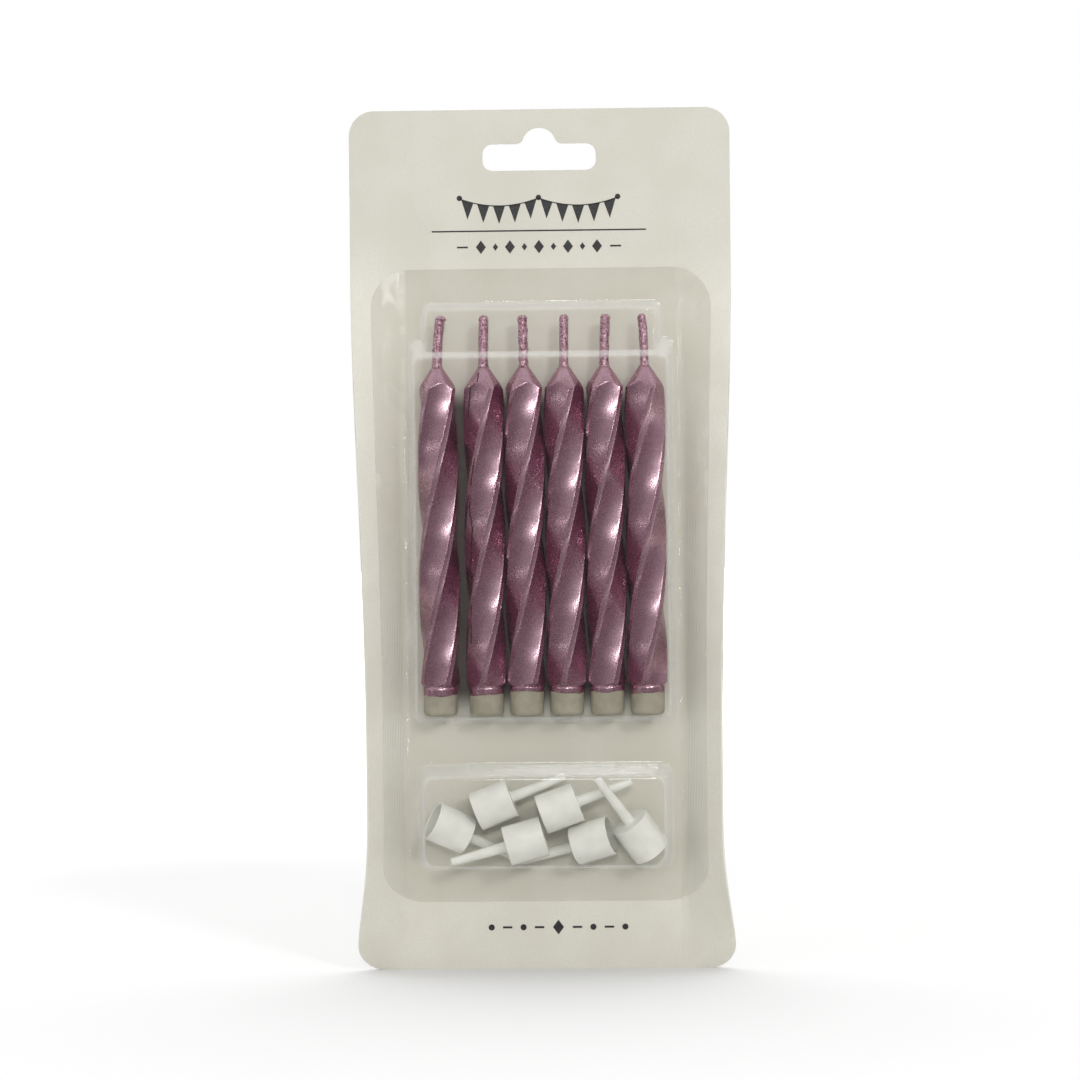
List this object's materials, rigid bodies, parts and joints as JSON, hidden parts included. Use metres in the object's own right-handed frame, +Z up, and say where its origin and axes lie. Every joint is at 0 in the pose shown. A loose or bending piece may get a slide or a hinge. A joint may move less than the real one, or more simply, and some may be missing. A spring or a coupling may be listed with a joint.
{
  "type": "spiral birthday candle set",
  "caption": "Carded blister set of metallic twisted birthday candles with wicks and push-in plastic holders, hung from a slot in its card.",
  "frame": {"origin": "top of the hang slot's hump, on the back face of the card", "axes": "+X across the card to the viewer's right, +Z up, +Y out of the back of the card"},
  "size_m": [0.076, 0.0121, 0.1719],
  "materials": {
    "card": "coated off-white paperboard with a raw grey edge",
    "film": "clear thermoformed sheet, glossy, with a fine knurled heat seal",
    "lacquer": "satin metallic mauve lacquer over white wax, bare wax at the foot",
    "wick": "stiff yarn in the same metallic lacquer",
    "holder": "glossy white moulded plastic"
  },
  "bodies": {
    "pack": {"backing_card": "card", "blister": "film"},
    "candle_1": {"candle_1": "lacquer", "wick_1": "wick"},
    "candle_2": {"candle_2": "lacquer", "wick_2": "wick"},
    "candle_3": {"candle_3": "lacquer", "wick_3": "wick"},
    "candle_4": {"candle_4": "lacquer", "wick_4": "wick"},
    "candle_5": {"candle_5": "lacquer", "wick_5": "wick"},
    "candle_6": {"candle_6": "lacquer", "wick_6": "wick"},
    "holder_1": {"holder_1": "holder"},
    "holder_2": {"holder_2": "holder"},
    "holder_3": {"holder_3": "holder"},
    "holder_4": {"holder_4": "holder"},
    "holder_5": {"holder_5": "holder"},
    "holder_6": {"holder_6": "holder"}
  },
  "joints": [
    {"name": "candle_1_slide", "type": "slide", "parent": "pack", "child": "candle_1", "axis": [0, 0, 1], "range_m": [0, 0.0008]},
    {"name": "candle_2_slide", "type": "slide", "parent": "pack", "child": "candle_2", "axis": [0, 0, 1], "range_m": [0, 0.0008]},
    {"name": "candle_3_slide", "type": "slide", "parent": "pack", "child": "candle_3", "axis": [0, 0, 1], "range_m": [0, 0.0008]},
    {"name": "candle_4_slide", "type": "slide", "parent": "pack", "child": "candle_4", "axis": [0, 0, 1], "range_m": [0, 0.0008]},
    {"name": "candle_5_slide", "type": "slide", "parent": "pack", "child": "candle_5", "axis": [0, 0, 1], "range_m": [0, 0.0008]},
    {"name": "candle_6_slide", "type": "slide", "parent": "pack", "child": "candle_6", "axis": [0, 0, 1], "range_m": [0, 0.0008]},
    {"name": "holder_1_roll", "type": "hinge", "parent": "pack", "child": "holder_1", "pos_m": [-0.01896, -0.00546, -0.13936], "axis": [0.8721, 0.2419, -0.4253], "continuous": true},
    {"name": "holder_2_roll", "type": "hinge", "parent": "pack", "child": "holder_2", "pos_m": [-0.01016, -0.00538, -0.13472], "axis": [0.9301, -0.0262, 0.3664], "continuous": true},
    {"name": "holder_3_roll", "type": "hinge", "parent": "pack", "child": "holder_3", "pos_m": [-0.00392, -0.00754, -0.14184], "axis": [-0.9635, -0.0175, -0.2672], "continuous": true},
    {"name": "holder_4_roll", "type": "hinge", "parent": "pack", "child": "holder_4", "pos_m": [0.00288, -0.00682, -0.13544], "axis": [0.9395, 0.0175, 0.342], "continuous": true},
    {"name": "holder_5_roll", "type": "hinge", "parent": "pack", "child": "holder_5", "pos_m": [0.00944, -0.0053, -0.142], "axis": [-0.9387, 0.1908, -0.287], "continuous": true},
    {"name": "holder_6_roll", "type": "hinge", "parent": "pack", "child": "holder_6", "pos_m": [0.01888, -0.0061, -0.1412], "axis": [-0.5596, -0.2672, 0.7845], "continuous": true}
  ]
}
